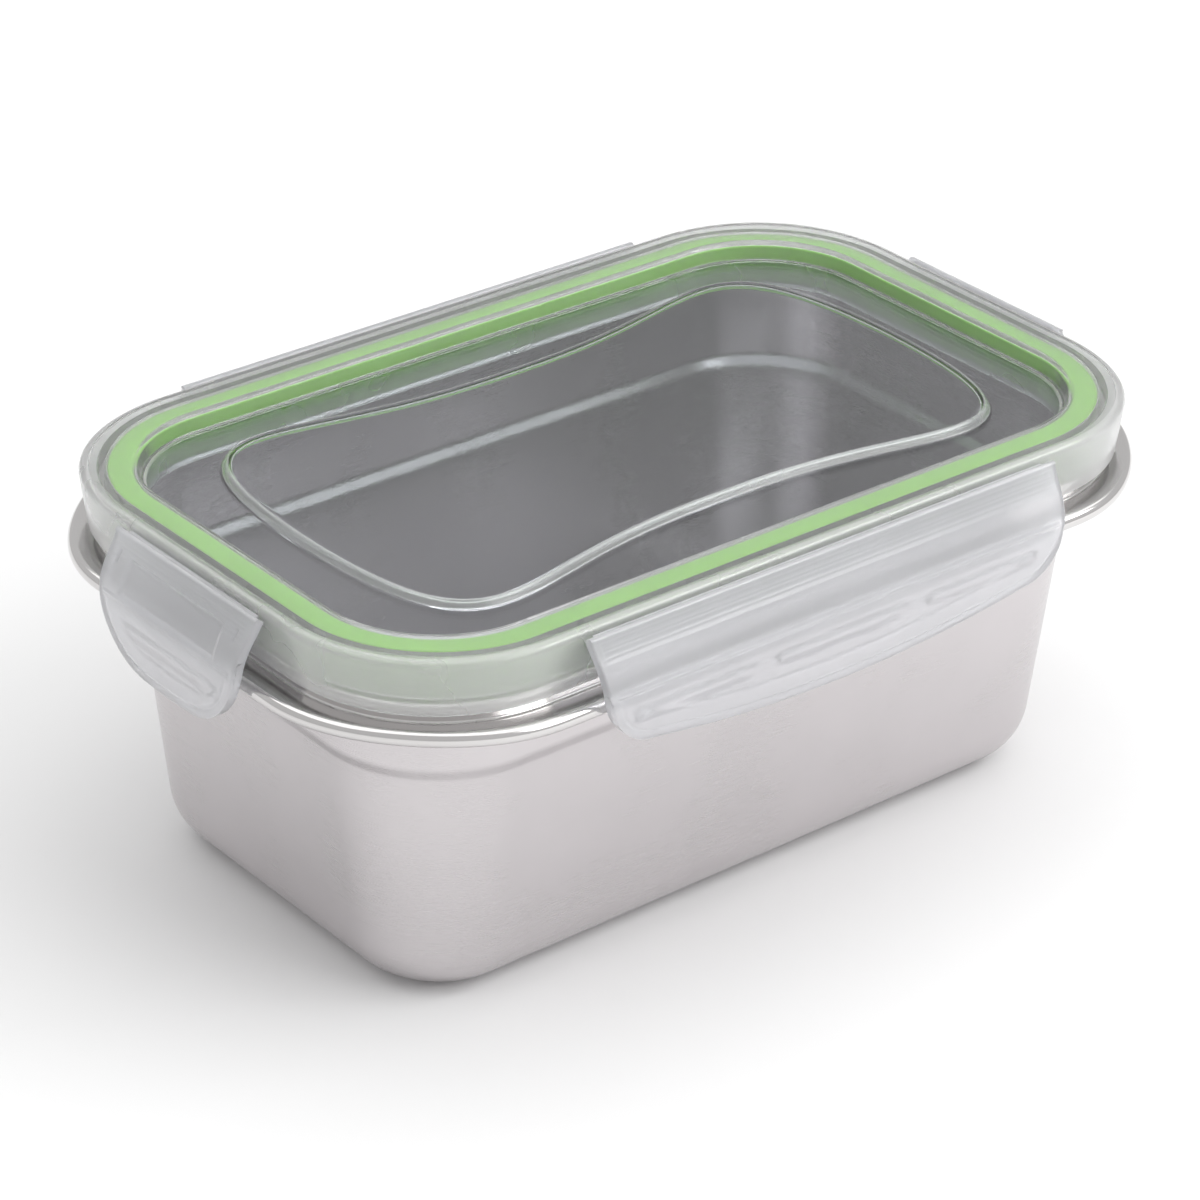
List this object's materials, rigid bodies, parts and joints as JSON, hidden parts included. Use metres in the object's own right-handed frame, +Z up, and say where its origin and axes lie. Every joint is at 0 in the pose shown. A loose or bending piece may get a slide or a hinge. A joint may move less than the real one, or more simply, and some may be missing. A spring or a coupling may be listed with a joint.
{
  "type": "lunch box",
  "caption": "Stainless-steel lunch box with a clear press-on lid, green silicone seal and hinged locking flaps on its sides.",
  "frame": {"origin": "centre of the base on the surface it stands on", "axes": "+X along the long side towards the right flap, -Y towards the front flap, +Z up"},
  "size_m": [0.206, 0.136, 0.0808],
  "materials": {
    "steel": "satin brushed walls, polished rolled rim",
    "lid_plastic": "translucent natural polypropylene, clear window",
    "flap_plastic": "translucent natural polypropylene, lightly frosted",
    "silicone": "smooth satin silicone"
  },
  "bodies": {
    "container": {"container": "steel"},
    "lid": {"lid": "lid_plastic", "gasket": "silicone", "front_hinge_web": "lid_plastic", "back_hinge_web": "lid_plastic", "left_hinge_web": "lid_plastic", "right_hinge_web": "lid_plastic"},
    "front_flap": {"front_flap": "flap_plastic"},
    "back_flap": {"back_flap": "flap_plastic"},
    "left_flap": {"left_flap": "flap_plastic"},
    "right_flap": {"right_flap": "flap_plastic"}
  },
  "joints": [
    {"name": "lid_lift", "type": "slide", "parent": "container", "child": "lid", "axis": [0, 0, 1], "range_m": [0, 0.12]},
    {"name": "front_flap_hinge", "type": "hinge", "parent": "lid", "child": "front_flap", "pos_m": [0, -0.0625, 0.0792], "axis": [-1, 0, 0], "range_deg": [0, 150], "deforming": ["front_hinge_web"]},
    {"name": "back_flap_hinge", "type": "hinge", "parent": "lid", "child": "back_flap", "pos_m": [0, 0.0625, 0.0792], "axis": [1, 0, 0], "range_deg": [0, 150], "deforming": ["back_hinge_web"]},
    {"name": "left_flap_hinge", "type": "hinge", "parent": "lid", "child": "left_flap", "pos_m": [-0.0975, 0, 0.0792], "axis": [0, 1, 0], "range_deg": [0, 150], "deforming": ["left_hinge_web"]},
    {"name": "right_flap_hinge", "type": "hinge", "parent": "lid", "child": "right_flap", "pos_m": [0.0975, 0, 0.0792], "axis": [0, -1, 0], "range_deg": [0, 150], "deforming": ["right_hinge_web"]}
  ]
}
